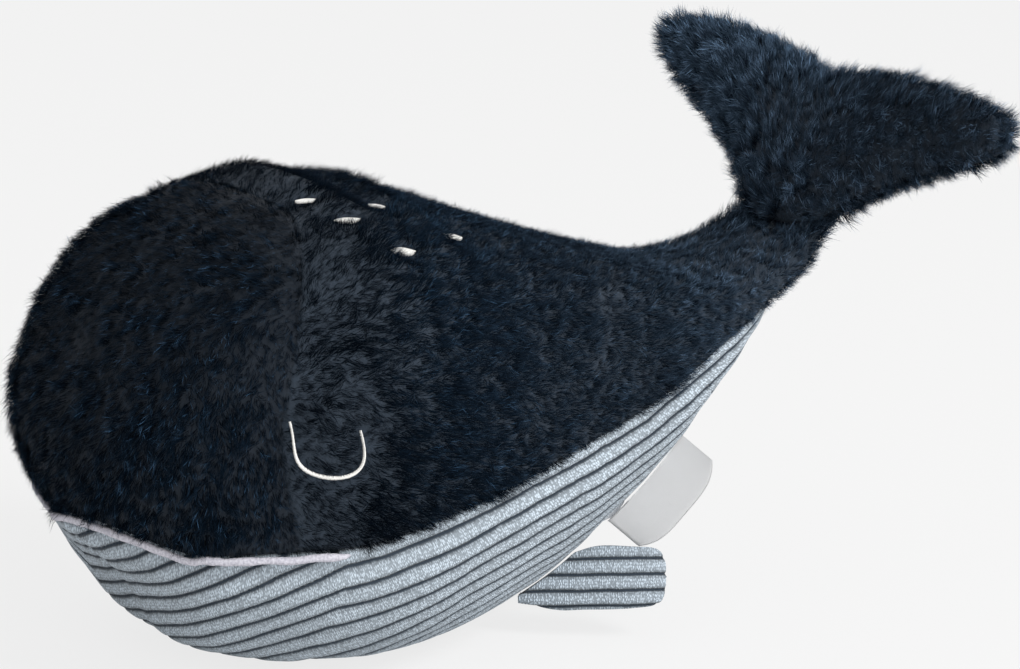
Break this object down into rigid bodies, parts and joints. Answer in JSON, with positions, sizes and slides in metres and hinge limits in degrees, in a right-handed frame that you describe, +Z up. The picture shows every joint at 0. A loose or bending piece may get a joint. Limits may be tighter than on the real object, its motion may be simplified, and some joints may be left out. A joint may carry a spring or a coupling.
{
  "type": "heatable plush toy",
  "caption": "Stuffed whale in dark faux fur with a light corduroy belly and flippers, upturned flukes, and a grain-filled warming pouch in a belly pocket.",
  "frame": {"origin": "centre of the footprint, on the surface that the belly rests on", "axes": "+Y from the nose to the tail, +X to the toy's left, +Z up"},
  "size_m": [0.176, 0.2822, 0.1635],
  "materials": {
    "plush": "long-pile faux fur, matte",
    "corduroy": "wide-wale corduroy, matte",
    "piping": "soft cotton cord",
    "thread": "satin-stitched thread, slight sheen",
    "label": "woven ribbon, bare",
    "filling": "loose polyester fibre",
    "lining": "plain woven lining",
    "tape": "hook-and-loop tape, matte",
    "pouch_cloth": "cotton twill",
    "grain": "dry grain"
  },
  "bodies": {
    "torso": {"forehead_plush": "plush", "back_plush": "plush", "chin_side_panel": "corduroy", "base_panel": "corduroy", "loop_tape": "tape", "closure_underlap": "lining", "body_stuffing": "filling", "pocket_lining": "lining", "tail_stuffing": "filling", "fluke_front_plush": "plush", "fluke_rear_plush": "plush", "fluke_stuffing": "filling", "left_eye": "thread", "right_eye": "thread", "spot_1": "thread", "spot_2": "thread", "spot_3": "thread", "spot_4": "thread", "spot_5": "thread", "mouth_piping": "piping", "side_label": "label"},
    "heat_pouch": {"pouch_cover_upper": "pouch_cloth", "pouch_cover_lower": "pouch_cloth", "grain_filling": "grain"},
    "flap": {"pocket_flap": "corduroy", "hook_tape": "tape"},
    "left_flipper": {"left_flipper_outer_cover": "corduroy", "left_flipper_inner_cover": "corduroy", "left_flipper_batting": "filling"},
    "right_flipper": {"right_flipper_outer_cover": "corduroy", "right_flipper_inner_cover": "corduroy", "right_flipper_batting": "filling"}
  },
  "joints": [
    {"name": "pouch_slide", "type": "slide", "parent": "torso", "child": "heat_pouch", "axis": [0, 1, 0], "range_m": [0, 0.15]},
    {"name": "flap_hinge", "type": "hinge", "parent": "torso", "child": "flap", "pos_m": [0, 0.0793, 0.059], "axis": [1, 0, 0], "range_deg": [0, 156]},
    {"name": "left_flipper_hinge", "type": "hinge", "parent": "torso", "child": "left_flipper", "pos_m": [0.0289, 0.0098, 0.0176], "axis": [0, 0.89, 0.456], "range_deg": [0, 35], "stiffness_Nm_per_rad": 0.02},
    {"name": "right_flipper_hinge", "type": "hinge", "parent": "torso", "child": "right_flipper", "pos_m": [-0.0289, 0.0098, 0.0176], "axis": [0, -0.89, -0.456], "range_deg": [0, 35], "stiffness_Nm_per_rad": 0.02}
  ],
  "couplings": [
    {"joint": "flap_hinge", "follows": "pouch_slide", "rad_per_m": 18.15}
  ]
}
